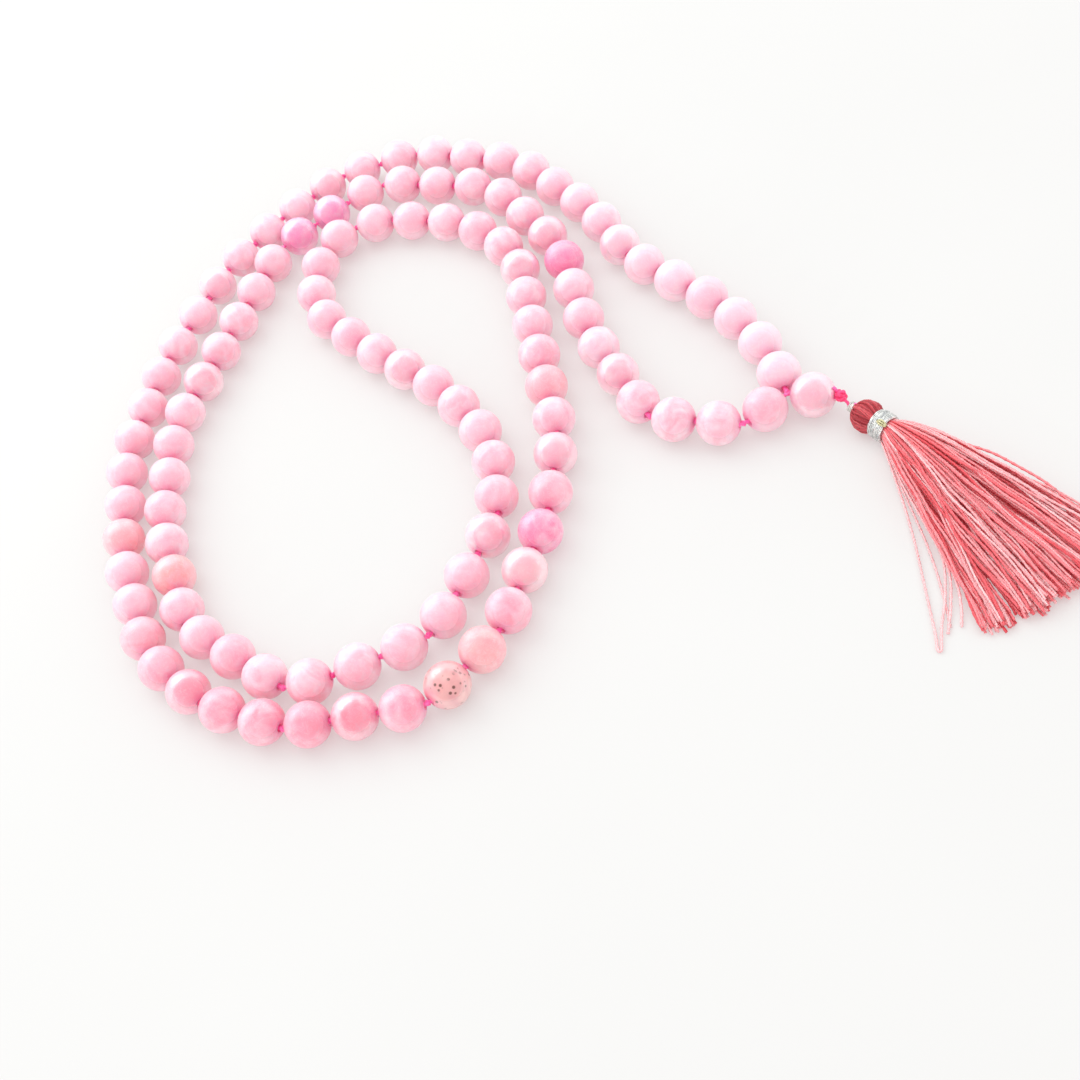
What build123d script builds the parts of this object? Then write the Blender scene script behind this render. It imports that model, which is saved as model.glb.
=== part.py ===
from build123d import *
from math import acos, atan2, cos, degrees, hypot, pi, radians, sin
import os

# ---------------------------------------------------------------------------
# Prayer beads (mala): 108 round counting beads and a guru bead on one knotted
# cord, lying flat, with a silk tassel hanging from the guru bead's end knot.
# Millimetres.  +Z is up and Z = 0 is the surface that the beads lie on.
# ---------------------------------------------------------------------------

# --- driving dimensions ----------------------------------------------------
BORE_Z = 4.0            # height of every bead's bore above the resting surface
BORE_R = 0.55           # drilled hole of a counting bead
MOUTH = 0.35            # 45 degree countersink at each mouth of a bore
CORD_R = 0.38           # stringing cord
KNOT_R = 0.68           # the knot tied between two beads
FOLD_CLEAR = 0.10       # room between a fold's knot and the cord that turns on it
MIN_GAP = 0.26          # smallest gap that a knot keeps between two beads
FOLD_GAP = 0.20         # further gap at the knots where the strand folds

GURU_D = 8.0            # guru bead
GURU_BORE_R = 0.70      # wider bore, because both ends of the cord share it
GURU_CORD_R = 0.52      # the two cord ends together
GURU_DIST = 4.80        # from the junction knot to the centre of the guru bead
END_DIST = 4.95         # from the centre of the guru bead to the end knot
END_KNOT_R = 1.15       # the double knot that keeps the guru bead on
GURU_AZ = -35.82       # direction of the guru bead's bore, away from the strand

TASSEL_AZ = -68.0       # direction of the tassel, from the end knot
TASSEL_Z = 2.97         # height of the tassel's own axis: its head lies on the surface
PIVOT_X = 1.75          # the link where the tassel tips up, from the end knot
LINK_R = 0.42
COLLAR_X0, COLLAR_X1, COLLAR_R = 2.42, 3.18, 0.86
HEAD_X, HEAD_R = 6.2, 2.95
HEAD_BORE_R = 0.50
HEAD_ROOM_R, HEAD_KNOT_R = 1.25, 1.10
WRAP_X0, WRAP_X1 = 8.25, 10.80
WRAP_R, WRAP_BORE_R = 2.66, 2.22
BOUND_X0, BOUND_X1, BOUND_R = 9.25, 10.95, 2.14
FRINGE_X = 13.3         # centre of the fringe's rounded root, where it flexes
FRINGE_ROOT_R = 2.20
FRINGE_TURN = -8.5      # the fan leans to one side of the tassel's axis
FRINGE_LEN = 40.2       # from the root's centre to the cut ends
FRINGE_HALF_W = (2.20, 8.70, 15.60)
FRINGE_HALF_T = (2.20, 1.95, 1.60)
FRINGE_Z = (2.97, 2.20, 1.66)

# Diameter of each counting bead, first to last.
BEAD_D = [
    7.98, 7.93, 7.92, 8.00, 7.98, 7.87, 7.99, 7.98, 7.87,
    7.91, 7.95, 7.93, 7.91, 7.96, 7.98, 7.89, 7.91, 7.93,
    7.89, 7.92, 7.86, 7.97, 7.92, 7.93, 7.95, 7.92, 7.97,
    7.89, 7.88, 7.98, 7.93, 7.96, 7.99, 7.87, 7.94, 7.98,
    7.91, 7.97, 7.87, 7.97, 8.00, 7.97, 7.95, 7.93, 7.87,
    7.90, 7.95, 8.00, 7.98, 7.86, 7.94, 7.90, 7.99, 8.00,
    7.88, 7.92, 7.96, 7.96, 7.99, 7.98, 8.00, 7.88, 7.93,
    7.98, 7.90, 7.97, 7.99, 7.92, 7.87, 8.00, 7.89, 7.97,
    7.99, 8.00, 7.96, 7.90, 7.93, 7.88, 7.97, 7.96, 7.96,
    7.86, 7.87, 7.95, 7.94, 7.96, 7.90, 7.99, 7.99, 7.94,
    7.97, 7.88, 7.90, 7.92, 7.91, 7.90, 7.89, 7.87, 7.98,
    7.91, 7.98, 7.94, 7.89, 7.87, 7.89, 8.00, 7.95, 7.98,
]

# The junction knot, where the two ends of the strand meet under the guru bead.
JUNCTION = (44.227, -24.844)
# The strand, run by run from the junction and back to it: the knot that ends
# each straight run, and how many beads the run carries.
ROUTE = [
    (  45.750,  -15.759, 1),
    (  42.873,    0.484, 2),
    (  32.275,   22.823, 3),
    (  30.323,   39.324, 2),
    (  21.830,   62.607, 3),
    (   3.387,   79.295, 3),
    ( -13.666,   82.470, 2),
    ( -29.537,   76.861, 2),
    ( -44.193,   67.604, 2),
    ( -61.229,   48.122, 3),
    ( -73.341,   26.361, 3),
    ( -77.849,    1.784, 3),
    ( -76.829,  -22.969, 3),
    ( -68.908,  -37.510, 2),
    ( -56.524,  -48.841, 2),
    ( -32.401,  -55.762, 3),
    ( -17.409,  -48.042, 2),
    (  -2.170,  -28.534, 3),
    (   4.975,  -12.854, 2),
    (   8.791,   11.734, 3),
    (  12.810,   36.114, 3),
    (   6.040,   51.457, 2),
    (  -7.137,   61.441, 2),
    ( -15.309,   64.609, 1),
    ( -23.519,   61.108, 1),
    ( -29.327,   44.950, 2),
    ( -22.414,   29.158, 2),
    ( -10.498,    7.590, 3),
    (  -6.619,   -8.548, 2),
    ( -10.393,  -24.728, 2),
    ( -22.193,  -37.489, 2),
    ( -28.733,  -43.268, 1),
    ( -45.967,  -42.997, 2),
    ( -54.846,  -41.096, 1),
    ( -68.934,  -20.287, 3),
    ( -69.343,    4.550, 3),
    ( -62.769,   28.265, 3),
    ( -47.461,   47.625, 3),
    ( -31.541,   67.488, 3),
    ( -14.958,   73.115, 2),
    (  -6.099,   74.080, 1),
    (  14.382,   58.707, 3),
    (  21.135,   33.512, 3),
    (  18.303,    7.587, 3),
    (  21.077,  -17.627, 3),
    (  35.050,  -27.898, 2),
    (  44.227,  -24.844, 1),
]
# The strand folds at the knots after these beads.  Between them it belongs to
# the guru end, the middle or the left side.
FOLDS = (8, 18, 36, 75, 90, 102)


# --- the layout of knots, runs and beads -------------------------------------
knots = [JUNCTION] + [(x, y) for x, y, n in ROUTE]
runs = []               # (start, end, unit direction, length, first bead, count)
first = 1
for (x0, y0), (x1, y1, n) in zip(knots[:-1], ROUTE):
    length = hypot(x1 - x0, y1 - y0)
    runs.append(((x0, y0), (x1, y1), ((x1 - x0) / length, (y1 - y0) / length), length, first, n))
    first += n


def turn_after(j):
    """Angle between run j and the next, in radians."""
    (ax, ay), (bx, by) = runs[j][2], runs[j + 1][2]
    return acos(max(-1.0, min(1.0, ax * bx + ay * by)))


def end_room(j, bead, other):
    """Distance from the knot after run j to the centre of the bead beside it."""
    if j < 0 or j >= len(runs) - 1:
        return 4.62
    gap = MIN_GAP + (FOLD_GAP if max(bead, other) - 1 in FOLDS else 0.0)
    return ((BEAD_D[bead - 1] + BEAD_D[other - 1]) / 2 + gap) / 2 / cos(turn_after(j) / 2)


def beads_on(j):
    """[(bead number, (x, y))] of run j."""
    start, end, (ux, uy), length, first, n = runs[j]
    e0 = end_room(j - 1, first, first - 1)
    e1 = end_room(j, first + n - 1, first + n)
    steps = [(BEAD_D[first - 1 + k] + BEAD_D[first + k]) / 2 + MIN_GAP for k in range(n - 1)]
    slack = (length - e0 - e1 - sum(steps)) / n
    along, found = e0 + slack / 2, []
    for k in range(n):
        found.append((first + k, (start[0] + ux * along, start[1] + uy * along)))
        if k < n - 1:
            along += steps[k] + slack
    return found


os.makedirs("parts", exist_ok=True)


# --- the counting beads ------------------------------------------------------
# Each node is one straight run of the strand: one, two or three beads that
# share a bore line, each a separate ball, drilled through and countersunk.
bead_nodes = []
for j, (start, end, (ux, uy), length, first, n) in enumerate(runs):
    name = f"bead_{first:03d}" if n == 1 else f"beads_{first:03d}_{first + n - 1:03d}"
    with BuildPart() as beads:
        for number, (x, y) in beads_on(j):
            ball_r = BEAD_D[number - 1] / 2
            mouth_r = BORE_R + MOUTH
            mouth_x = (ball_r**2 - mouth_r**2) ** 0.5
            bore_line = Axis(origin=(x, y, BORE_Z), direction=(ux, uy, 0))
            with BuildSketch(Plane(origin=(x, y, BORE_Z), x_dir=(ux, uy, 0), z_dir=(0, 0, 1))):
                with BuildLine():
                    Polyline(
                        (-mouth_x, mouth_r),
                        (-mouth_x + MOUTH, BORE_R),
                        (mouth_x - MOUTH, BORE_R),
                        (mouth_x, mouth_r),
                    )
                    ThreePointArc((mouth_x, mouth_r), (0, ball_r), (-mouth_x, mouth_r))
                make_face()
            revolve(axis=bore_line)
    beads.part.label = name
    export_step(beads.part, f"parts/{name}.step")
    bead_nodes.append(name)


# --- the stringing cord --------------------------------------------------------
# One cord, in the three lengths that the folds divide it into.  The middle
# keeps the knots at the folds, and the other two stop just short of them.
def stretch_of(bead):
    if FOLDS[0] < bead <= FOLDS[5]:
        return "left" if FOLDS[1] < bead <= FOLDS[2] or FOLDS[3] < bead <= FOLDS[4] else "middle"
    return "guru_end"


neck = (KNOT_R**2 - CORD_R**2) ** 0.5      # from a knot's centre to where the cord leaves it
guru_dx, guru_dy = cos(radians(GURU_AZ)), sin(radians(GURU_AZ))
guru_x = JUNCTION[0] + guru_dx * GURU_DIST
guru_y = JUNCTION[1] + guru_dy * GURU_DIST
end_x = guru_x + guru_dx * END_DIST
end_y = guru_y + guru_dy * END_DIST

for owner in ("middle", "left", "guru_end"):
    with BuildPart() as cord:
        for j, (start, end, (ux, uy), length, first, n) in enumerate(runs):
            if stretch_of(first) != owner:
                continue
            # Each run of cord is turned in one piece with the knots on it: the
            # knot at its start, those between its beads, and a fold's last knot.
            start_knot = owner == "middle" or first - 1 not in FOLDS
            end_knot_here = owner == "middle" and first + n - 1 in FOLDS
            stop = length
            if owner != "middle" and first + n - 1 in FOLDS:
                stop = length - KNOT_R - FOLD_CLEAR
            placed = [hypot(x - start[0], y - start[1]) for number, (x, y) in beads_on(j)]
            middles = [(a + b) / 2 for a, b in zip(placed[:-1], placed[1:])]
            with BuildSketch(
                Plane(origin=(start[0], start[1], BORE_Z), x_dir=(ux, uy, 0), z_dir=(0, 0, 1))
            ):
                with BuildLine():
                    if start_knot:
                        ThreePointArc((-KNOT_R, 0), (0, KNOT_R), (neck, CORD_R))
                        x = neck
                    else:
                        x = KNOT_R + FOLD_CLEAR
                        Line((x, 0), (x, CORD_R))
                    for m in middles:
                        Line((x, CORD_R), (m - neck, CORD_R))
                        ThreePointArc((m - neck, CORD_R), (m, KNOT_R), (m + neck, CORD_R))
                        x = m + neck
                    if end_knot_here:
                        Line((x, CORD_R), (stop - neck, CORD_R))
                        ThreePointArc((stop - neck, CORD_R), (stop, KNOT_R), (stop + KNOT_R, 0))
                        x = stop + KNOT_R
                    else:
                        Line((x, CORD_R), (stop, CORD_R))
                        Line((stop, CORD_R), (stop, 0))
                        x = stop
                    Line((x, 0), (-KNOT_R if start_knot else KNOT_R + FOLD_CLEAR, 0))
                make_face()
            revolve(axis=Axis(origin=(start[0], start[1], BORE_Z), direction=(ux, uy, 0)))
        if owner == "guru_end":
            # both ends of the cord, side by side through the guru bead
            with BuildSketch(
                Plane(origin=(JUNCTION[0], JUNCTION[1], BORE_Z), x_dir=(0, 0, 1), z_dir=(guru_dx, guru_dy, 0))
            ):
                Circle(GURU_CORD_R)
            extrude(amount=GURU_DIST + END_DIST - END_KNOT_R - FOLD_CLEAR)
    cord.part.label = f"strand_cord_{owner}"
    export_step(cord.part, f"parts/strand_cord_{owner}.step")


# --- the guru bead and its end knot --------------------------------------------
with BuildPart() as guru_bead:
    ball_r = GURU_D / 2
    mouth_r = GURU_BORE_R + MOUTH
    mouth_x = (ball_r**2 - mouth_r**2) ** 0.5
    with BuildSketch(
        Plane(origin=(guru_x, guru_y, BORE_Z), x_dir=(guru_dx, guru_dy, 0), z_dir=(0, 0, 1))
    ):
        with BuildLine():
            Polyline(
                (-mouth_x, mouth_r),
                (-mouth_x + MOUTH, GURU_BORE_R),
                (mouth_x - MOUTH, GURU_BORE_R),
                (mouth_x, mouth_r),
            )
            ThreePointArc((mouth_x, mouth_r), (0, ball_r), (-mouth_x, mouth_r))
        make_face()
    revolve(axis=Axis(origin=(guru_x, guru_y, BORE_Z), direction=(guru_dx, guru_dy, 0)))
guru_bead.part.label = "guru_bead"
export_step(guru_bead.part, "parts/guru_bead.step")

with BuildPart() as end_knot:
    with Locations((end_x, end_y, BORE_Z)):
        Sphere(END_KNOT_R)
end_knot.part.label = "end_knot"
export_step(end_knot.part, "parts/end_knot.step")


# --- the tassel ------------------------------------------------------------------
# Its pieces are placed along a local axis: s runs from the end knot towards the
# cut ends of the fringe, t is level and to the left of it.
ts, tc = sin(radians(TASSEL_AZ)), cos(radians(TASSEL_AZ))


def tassel_point(s, t=0.0, z=TASSEL_Z):
    return (end_x + tc * s - ts * t, end_y + ts * s + tc * t, z)


def across(s, z=TASSEL_Z):
    """The plane square to the tassel's axis at s, local x level and local y up."""
    return Plane(origin=tassel_point(s, 0, z), x_dir=(-ts, tc, 0), z_dir=(tc, ts, 0))


def along(s, z=TASSEL_Z):
    """The level plane through the tassel's axis, with local x along it."""
    return Plane(origin=tassel_point(s, 0, z), x_dir=(tc, ts, 0), z_dir=(0, 0, 1))


tassel_axis = Axis(origin=tassel_point(0), direction=(tc, ts, 0))

# the short link that ties the tassel under the end knot, and turns with that knot
drop = BORE_Z - TASSEL_Z
slope = hypot(PIVOT_X, drop)
from_knot = END_KNOT_R - 0.15
link_dir = (tc * PIVOT_X / slope, ts * PIVOT_X / slope, -drop / slope)
with BuildPart() as hanger_link:
    with BuildSketch(
        Plane(
            origin=(
                end_x + link_dir[0] * from_knot,
                end_y + link_dir[1] * from_knot,
                BORE_Z + link_dir[2] * from_knot,
            ),
            x_dir=(-ts, tc, 0),
            z_dir=link_dir,
        )
    ):
        Circle(0.34)
    extrude(amount=slope - from_knot)
    with Locations(tassel_point(PIVOT_X)):
        Sphere(LINK_R)
hanger_link.part.label = "tassel_hanger_link"
export_step(hanger_link.part, "parts/tassel_hanger_link.step")

# the cord that runs down into the tassel's head
with BuildPart() as hanger_cord:
    with BuildSketch(across(PIVOT_X + LINK_R + 0.12)):
        Circle(0.38)
    extrude(amount=HEAD_X - (PIVOT_X + LINK_R + 0.12) - HEAD_KNOT_R + 0.15)
hanger_cord.part.label = "tassel_hanger_cord"
export_step(hanger_cord.part, "parts/tassel_hanger_cord.step")

# the stopper knot hidden in the head
with BuildPart() as inner_knot:
    with Locations(tassel_point(HEAD_X)):
        Sphere(HEAD_KNOT_R)
inner_knot.part.label = "tassel_inner_knot"
export_step(inner_knot.part, "parts/tassel_inner_knot.step")

# the silver collar bound round the cord, just above the head
with BuildPart() as collar:
    with BuildSketch(along(0)):
        with BuildLine():
            Polyline(
                (COLLAR_X0, 0.40),
                (COLLAR_X1, 0.40),
                (COLLAR_X1, COLLAR_R - 0.12),
                (COLLAR_X1 - 0.12, COLLAR_R),
                (COLLAR_X0 + 0.12, COLLAR_R),
                (COLLAR_X0, COLLAR_R - 0.12),
                close=True,
            )
        make_face()
    revolve(axis=tassel_axis)
collar.part.label = "tassel_collar"
export_step(collar.part, "parts/tassel_collar.step")

# the head: a ball of folded thread, with the hole that the cord comes out of
# and the room round its stopper knot
with BuildPart() as head:
    with Locations(tassel_point(HEAD_X)):
        Sphere(HEAD_R)
        Sphere(HEAD_ROOM_R, mode=Mode.SUBTRACT)
    with BuildSketch(across(HEAD_X - HEAD_R - 0.5)):
        Circle(HEAD_BORE_R)
    extrude(amount=HEAD_R + 0.5, mode=Mode.SUBTRACT)
head.part.label = "tassel_head"
export_step(head.part, "parts/tassel_head.step")

# the silver thread wound round the neck, as one ribbed ring
with BuildPart() as neck_wrap:
    turns = 6
    pitch = (WRAP_X1 - WRAP_X0) / turns
    with BuildSketch(along(0)):
        with BuildLine():
            Polyline(
                (WRAP_X0, WRAP_R - 0.12),
                (WRAP_X0, WRAP_BORE_R),
                (WRAP_X1, WRAP_BORE_R),
                (WRAP_X1, WRAP_R - 0.12),
            )
            for k in range(turns):
                x = WRAP_X1 - k * pitch
                ThreePointArc((x, WRAP_R - 0.12), (x - pitch / 2, WRAP_R), (x - pitch, WRAP_R - 0.12))
        make_face()
    revolve(axis=tassel_axis)
neck_wrap.part.label = "tassel_neck_wrap"
export_step(neck_wrap.part, "parts/tassel_neck_wrap.step")

# the threads inside the wrap, packed into a round bundle
with BuildPart() as bound_threads:
    with BuildSketch(across(BOUND_X0)):
        Circle(BOUND_R)
    extrude(amount=BOUND_X1 - BOUND_X0)
    fillet(bound_threads.edges().filter_by(GeomType.CIRCLE), 0.15)
bound_threads.part.label = "tassel_bound_threads"
export_step(bound_threads.part, "parts/tassel_bound_threads.step")

# the fringe: a rounded root, fanning out and down to a flat spread of cut ends
fx, fy, fz = tassel_point(FRINGE_X)
fan_az = radians(TASSEL_AZ + FRINGE_TURN)
fs, fc = sin(fan_az), cos(fan_az)
with BuildPart() as fringe:
    for share, half_w, half_t, z in zip((0.0, 0.5, 1.0), FRINGE_HALF_W, FRINGE_HALF_T, FRINGE_Z):
        reach = FRINGE_LEN * share
        with BuildSketch(
            Plane(origin=(fx + fc * reach, fy + fs * reach, z), x_dir=(-fs, fc, 0), z_dir=(fc, fs, 0))
        ):
            Ellipse(half_w, half_t) if half_w > half_t else Circle(half_w)
    loft()
    with Locations((fx, fy, fz)):
        Sphere(FRINGE_ROOT_R)
fringe.part.label = "tassel_fringe"
export_step(fringe.part, "parts/tassel_fringe.step")
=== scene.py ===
import math

import bpy
import numpy as np
from mathutils import Matrix, Vector


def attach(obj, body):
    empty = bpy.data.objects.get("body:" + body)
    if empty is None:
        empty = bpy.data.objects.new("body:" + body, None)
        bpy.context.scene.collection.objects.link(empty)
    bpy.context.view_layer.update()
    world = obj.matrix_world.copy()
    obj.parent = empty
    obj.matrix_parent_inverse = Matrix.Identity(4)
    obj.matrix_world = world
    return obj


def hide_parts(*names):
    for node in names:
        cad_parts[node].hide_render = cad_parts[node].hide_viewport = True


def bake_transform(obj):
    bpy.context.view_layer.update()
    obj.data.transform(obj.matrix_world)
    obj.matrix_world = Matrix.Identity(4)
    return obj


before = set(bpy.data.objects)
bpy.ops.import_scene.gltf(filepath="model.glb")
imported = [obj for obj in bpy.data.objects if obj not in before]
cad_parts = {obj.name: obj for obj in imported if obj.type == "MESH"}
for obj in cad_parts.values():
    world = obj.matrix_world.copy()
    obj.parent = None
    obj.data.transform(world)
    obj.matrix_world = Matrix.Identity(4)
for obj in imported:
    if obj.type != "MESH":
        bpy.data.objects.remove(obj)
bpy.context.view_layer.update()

MM = 0.001
rng = np.random.default_rng(108)

# ---------------------------------------------------------------------------
# Camera first: it stands in front of the beads and looks down at them.
# ---------------------------------------------------------------------------
PITCH, ROLL = math.radians(51.3008), math.radians(23.0987)
EYE = np.array([-5.3846, -193.8526, 204.165]) * MM
fwd = np.array([0, math.cos(PITCH), -math.sin(PITCH)])
side = np.array([1.0, 0, 0])
down = np.array([0, -math.sin(PITCH), -math.cos(PITCH)])
cam_right = math.cos(ROLL) * side + math.sin(ROLL) * down
cam_up = -(-math.sin(ROLL) * side + math.cos(ROLL) * down)
cam_back = -fwd
cam_data = bpy.data.cameras.new("camera")
cam_data.sensor_width = 36.0
cam_data.lens = 36.0 * 1498.25 / 1080.0
cam_data.clip_start, cam_data.clip_end = 0.01, 20.0
camera = bpy.data.objects.new("camera", cam_data)
m = Matrix.Identity(4)
for k, axis in enumerate((cam_right, cam_up, cam_back)):
    for r in range(3):
        m[r][k] = axis[r]
for r in range(3):
    m[r][3] = EYE[r]
camera.matrix_world = m
bpy.context.scene.collection.objects.link(camera)
bpy.context.scene.camera = camera

# ---------------------------------------------------------------------------
# The strand's layout, as in the CAD source.
# ---------------------------------------------------------------------------
# --- driving dimensions ----------------------------------------------------
BORE_Z = 4.0            # height of every bead's bore above the resting surface
BORE_R = 0.55           # drilled hole of a counting bead
MOUTH = 0.35            # 45 degree countersink at each mouth of a bore
CORD_R = 0.38           # stringing cord
KNOT_R = 0.68           # the knot tied between two beads
FOLD_CLEAR = 0.10       # room between a fold's knot and the cord that turns on it
MIN_GAP = 0.26          # smallest gap that a knot keeps between two beads
FOLD_GAP = 0.20         # further gap at the knots where the strand folds

GURU_D = 8.0            # guru bead
GURU_BORE_R = 0.70      # wider bore, because both ends of the cord share it
GURU_CORD_R = 0.52      # the two cord ends together
GURU_DIST = 4.80        # from the junction knot to the centre of the guru bead
END_DIST = 4.95         # from the centre of the guru bead to the end knot
END_KNOT_R = 1.15       # the double knot that keeps the guru bead on
GURU_AZ = -35.82       # direction of the guru bead's bore, away from the strand

TASSEL_AZ = -68.0       # direction of the tassel, from the end knot
TASSEL_Z = 2.97         # height of the tassel's own axis: its head lies on the surface
PIVOT_X = 1.75          # the link where the tassel tips up, from the end knot
LINK_R = 0.42
COLLAR_X0, COLLAR_X1, COLLAR_R = 2.42, 3.18, 0.86
HEAD_X, HEAD_R = 6.2, 2.95
HEAD_BORE_R = 0.50
HEAD_ROOM_R, HEAD_KNOT_R = 1.25, 1.10
WRAP_X0, WRAP_X1 = 8.25, 10.80
WRAP_R, WRAP_BORE_R = 2.66, 2.22
BOUND_X0, BOUND_X1, BOUND_R = 9.25, 10.95, 2.14
FRINGE_ROOT_R = 2.20
FRINGE_TURN = -8.5      # the fan leans to one side of the tassel's axis
FRINGE_LEN = 40.2       # from the root's centre to the cut ends
FRINGE_HALF_W = (2.20, 8.70, 15.60)
FRINGE_HALF_T = (2.20, 1.95, 1.60)
FRINGE_Z = (2.97, 2.20, 1.66)

# Diameter of each counting bead, first to last.
BEAD_D = [
    7.98, 7.93, 7.92, 8.00, 7.98, 7.87, 7.99, 7.98, 7.87,
    7.91, 7.95, 7.93, 7.91, 7.96, 7.98, 7.89, 7.91, 7.93,
    7.89, 7.92, 7.86, 7.97, 7.92, 7.93, 7.95, 7.92, 7.97,
    7.89, 7.88, 7.98, 7.93, 7.96, 7.99, 7.87, 7.94, 7.98,
    7.91, 7.97, 7.87, 7.97, 8.00, 7.97, 7.95, 7.93, 7.87,
    7.90, 7.95, 8.00, 7.98, 7.86, 7.94, 7.90, 7.99, 8.00,
    7.88, 7.92, 7.96, 7.96, 7.99, 7.98, 8.00, 7.88, 7.93,
    7.98, 7.90, 7.97, 7.99, 7.92, 7.87, 8.00, 7.89, 7.97,
    7.99, 8.00, 7.96, 7.90, 7.93, 7.88, 7.97, 7.96, 7.96,
    7.86, 7.87, 7.95, 7.94, 7.96, 7.90, 7.99, 7.99, 7.94,
    7.97, 7.88, 7.90, 7.92, 7.91, 7.90, 7.89, 7.87, 7.98,
    7.91, 7.98, 7.94, 7.89, 7.87, 7.89, 8.00, 7.95, 7.98,
]

# The junction knot, where the two ends of the strand meet under the guru bead.
JUNCTION = (44.227, -24.844)
# The strand, run by run from the junction and back to it: the knot that ends
# each straight run, and how many beads the run carries.
ROUTE = [
    (  45.750,  -15.759, 1),
    (  42.873,    0.484, 2),
    (  32.275,   22.823, 3),
    (  30.323,   39.324, 2),
    (  21.830,   62.607, 3),
    (   3.387,   79.295, 3),
    ( -13.666,   82.470, 2),
    ( -29.537,   76.861, 2),
    ( -44.193,   67.604, 2),
    ( -61.229,   48.122, 3),
    ( -73.341,   26.361, 3),
    ( -77.849,    1.784, 3),
    ( -76.829,  -22.969, 3),
    ( -68.908,  -37.510, 2),
    ( -56.524,  -48.841, 2),
    ( -32.401,  -55.762, 3),
    ( -17.409,  -48.042, 2),
    (  -2.170,  -28.534, 3),
    (   4.975,  -12.854, 2),
    (   8.791,   11.734, 3),
    (  12.810,   36.114, 3),
    (   6.040,   51.457, 2),
    (  -7.137,   61.441, 2),
    ( -15.309,   64.609, 1),
    ( -23.519,   61.108, 1),
    ( -29.327,   44.950, 2),
    ( -22.414,   29.158, 2),
    ( -10.498,    7.590, 3),
    (  -6.619,   -8.548, 2),
    ( -10.393,  -24.728, 2),
    ( -22.193,  -37.489, 2),
    ( -28.733,  -43.268, 1),
    ( -45.967,  -42.997, 2),
    ( -54.846,  -41.096, 1),
    ( -68.934,  -20.287, 3),
    ( -69.343,    4.550, 3),
    ( -62.769,   28.265, 3),
    ( -47.461,   47.625, 3),
    ( -31.541,   67.488, 3),
    ( -14.958,   73.115, 2),
    (  -6.099,   74.080, 1),
    (  14.382,   58.707, 3),
    (  21.135,   33.512, 3),
    (  18.303,    7.587, 3),
    (  21.077,  -17.627, 3),
    (  35.050,  -27.898, 2),
    (  44.227,  -24.844, 1),
]
# The strand folds at the knots after these beads.  Between them it belongs to
# the guru end, the middle or the left side.
FOLDS = (8, 18, 36, 75, 90, 102)


# --- the layout of knots, runs and beads -------------------------------------
knots = [JUNCTION] + [(x, y) for x, y, n in ROUTE]
runs = []               # (start, end, unit direction, length, first bead, count)
first = 1
for (x0, y0), (x1, y1, n) in zip(knots[:-1], ROUTE):
    length = math.hypot(x1 - x0, y1 - y0)
    runs.append(((x0, y0), (x1, y1), ((x1 - x0) / length, (y1 - y0) / length), length, first, n))
    first += n


def turn_after(j):
    """Angle between run j and the next, in radians."""
    (ax, ay), (bx, by) = runs[j][2], runs[j + 1][2]
    return math.acos(max(-1.0, min(1.0, ax * bx + ay * by)))


def end_room(j, bead, other):
    """Distance from the knot after run j to the centre of the bead beside it."""
    if j < 0 or j >= len(runs) - 1:
        return 4.62
    gap = MIN_GAP + (FOLD_GAP if max(bead, other) - 1 in FOLDS else 0.0)
    return ((BEAD_D[bead - 1] + BEAD_D[other - 1]) / 2 + gap) / 2 / math.cos(turn_after(j) / 2)


def beads_on(j):
    """[(bead number, (x, y))] of run j."""
    start, end, (ux, uy), length, first, n = runs[j]
    e0 = end_room(j - 1, first, first - 1)
    e1 = end_room(j, first + n - 1, first + n)
    steps = [(BEAD_D[first - 1 + k] + BEAD_D[first + k]) / 2 + MIN_GAP for k in range(n - 1)]
    slack = (length - e0 - e1 - sum(steps)) / n
    along, found = e0 + slack / 2, []
    for k in range(n):
        found.append((first + k, (start[0] + ux * along, start[1] + uy * along)))
        if k < n - 1:
            along += steps[k] + slack
    return found


# --- the cord's knots ----------------------------------------------------------
# KNOT[i] is the knot after bead i; KNOT[0] and KNOT[108] are the junction.
BEADS = {}                       # bead number: (centre, unit direction of its bore, run)
KNOT = {0: JUNCTION}
TURN = {}                        # knot number: angle that the cord turns there, degrees
for j, (start, end, unit, length, first, n) in enumerate(runs):
    found = beads_on(j)
    for number, xy in found:
        BEADS[number] = (xy, unit, j)
    for (a, pa), (b, pb) in zip(found[:-1], found[1:]):
        KNOT[a] = ((pa[0] + pb[0]) / 2, (pa[1] + pb[1]) / 2)
    KNOT[first + n - 1] = end
    if j < len(runs) - 1:
        TURN[first + n - 1] = math.degrees(turn_after(j))

guru_dx, guru_dy = math.cos(math.radians(GURU_AZ)), math.sin(math.radians(GURU_AZ))
guru_x, guru_y = JUNCTION[0] + guru_dx * GURU_DIST, JUNCTION[1] + guru_dy * GURU_DIST
end_x, end_y = guru_x + guru_dx * END_DIST, guru_y + guru_dy * END_DIST
ts, tc = math.sin(math.radians(TASSEL_AZ)), math.cos(math.radians(TASSEL_AZ))


def tassel_point(s, t=0.0, z=TASSEL_Z):
    """Metres, from millimetres along, left of and above the tassel's axis."""
    return ((end_x + tc * s - ts * t) * MM, (end_y + ts * s + tc * t) * MM, z * MM)


def tassel_points(s, t, z):
    return np.stack([end_x + tc * s - ts * t, end_y + ts * s + tc * t, z], axis=-1) * MM


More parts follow.
